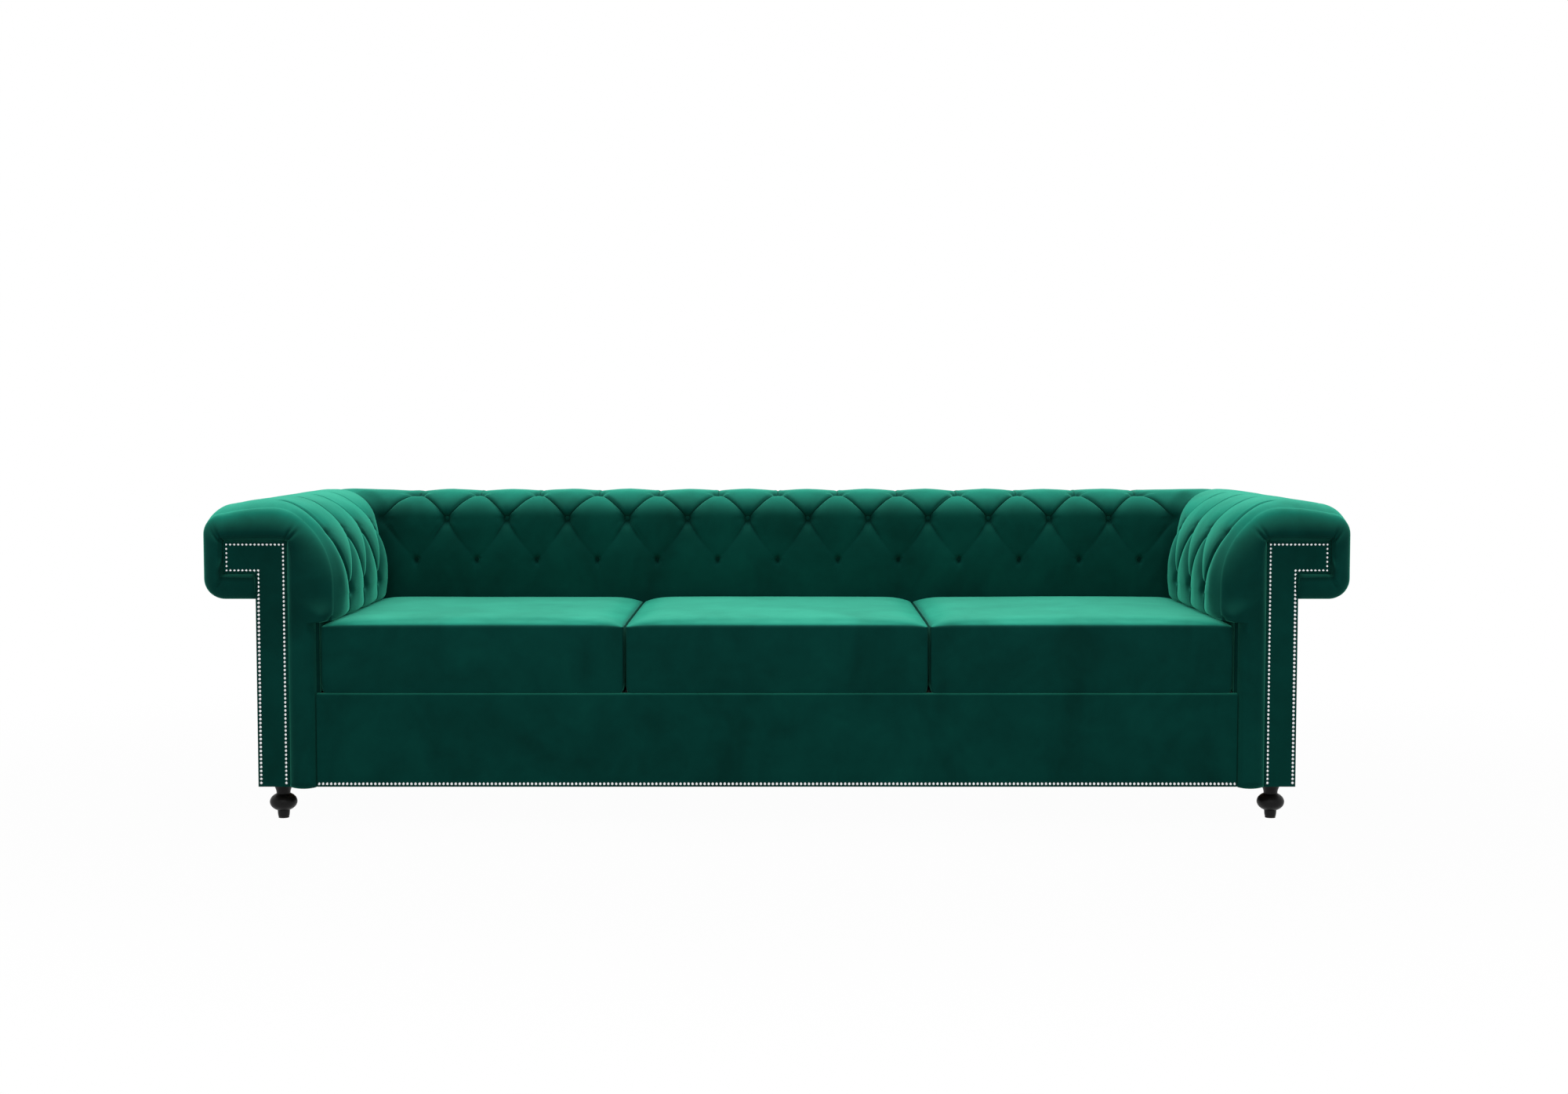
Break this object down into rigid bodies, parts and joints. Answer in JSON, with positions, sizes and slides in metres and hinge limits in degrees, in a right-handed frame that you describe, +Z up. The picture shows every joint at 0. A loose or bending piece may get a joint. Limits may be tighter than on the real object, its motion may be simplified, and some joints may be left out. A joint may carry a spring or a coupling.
{
  "type": "sofa",
  "caption": "Long tufted velvet sofa with square rolled arms, loose box seat cushions, nail-trimmed fronts and short turned feet.",
  "frame": {"origin": "on the floor, at the middle of the sofa's outline seen from above", "axes": "+X along the width, to the right seen from the front; the seat faces -Y; +Z up"},
  "size_m": [2.5, 0.932, 0.708],
  "materials": {
    "velvet": "matte",
    "button_velvet": "matte",
    "nails": "polished",
    "plywood": "matte",
    "timber": "matte",
    "spring_steel": "satin",
    "felt": "matte",
    "dust_cloth": "matte",
    "foot_lacquer": "gloss",
    "glide": "matte",
    "foam": "matte",
    "zip_metal": "satin"
  },
  "bodies": {
    "frame": {"arm_pad_left": "velvet", "arm_pad_right": "velvet", "arm_border_left": "velvet", "arm_border_right": "velvet", "arm_facing_left": "velvet", "arm_facing_right": "velvet", "arm_outer_panel_left": "velvet", "arm_outer_panel_right": "velvet", "back_pad": "velvet", "back_outer_panel": "velvet", "apron": "velvet", "arm_buttons_left": "button_velvet", "arm_buttons_right": "button_velvet", "back_buttons": "button_velvet", "facing_nails_left": "nails", "facing_nails_right": "nails", "apron_nails": "nails", "arm_front_former_left": "plywood", "arm_front_former_right": "plywood", "arm_rear_former_left": "plywood", "arm_rear_former_right": "plywood", "arm_lining_left": "plywood", "arm_lining_right": "plywood", "back_formers": "plywood", "back_lining": "plywood", "rear_foot_boards": "plywood", "arm_rails_left": "timber", "arm_rails_right": "timber", "back_rails": "timber", "front_rail": "timber", "rear_rail": "timber", "side_rails": "timber", "stretchers": "timber", "corner_blocks": "timber", "seat_springs": "spring_steel", "spring_clips": "spring_steel", "hanger_bolts": "spring_steel", "tee_nuts": "spring_steel", "seat_deck": "felt", "dust_cover": "dust_cloth", "foot_front_left": "foot_lacquer", "foot_front_right": "foot_lacquer", "foot_rear_left": "foot_lacquer", "foot_rear_right": "foot_lacquer", "centre_leg": "foot_lacquer", "glides": "glide"},
    "cushion_left": {"cushion_cover_left": "velvet", "cushion_core_left": "foam", "zip_tape_left": "dust_cloth"},
    "cushion_centre": {"cushion_cover_centre": "velvet", "cushion_core_centre": "foam", "zip_tape_centre": "dust_cloth"},
    "cushion_right": {"cushion_cover_right": "velvet", "cushion_core_right": "foam", "zip_tape_right": "dust_cloth"},
    "zip_slider_left": {"zip_slider_left": "zip_metal"},
    "zip_slider_centre": {"zip_slider_centre": "zip_metal"},
    "zip_slider_right": {"zip_slider_right": "zip_metal"}
  },
  "joints": [
    {"name": "cushion_left_pull", "type": "slide", "parent": "frame", "child": "cushion_left", "axis": [0, -1, 0], "range_m": [0, 0.7]},
    {"name": "zip_left_run", "type": "slide", "parent": "cushion_left", "child": "zip_slider_left", "axis": [1, 0, 0], "range_m": [0, 0.488]},
    {"name": "cushion_centre_pull", "type": "slide", "parent": "frame", "child": "cushion_centre", "axis": [0, -1, 0], "range_m": [0, 0.7]},
    {"name": "zip_centre_run", "type": "slide", "parent": "cushion_centre", "child": "zip_slider_centre", "axis": [1, 0, 0], "range_m": [0, 0.488]},
    {"name": "cushion_right_pull", "type": "slide", "parent": "frame", "child": "cushion_right", "axis": [0, -1, 0], "range_m": [0, 0.7]},
    {"name": "zip_right_run", "type": "slide", "parent": "cushion_right", "child": "zip_slider_right", "axis": [1, 0, 0], "range_m": [0, 0.488]}
  ]
}
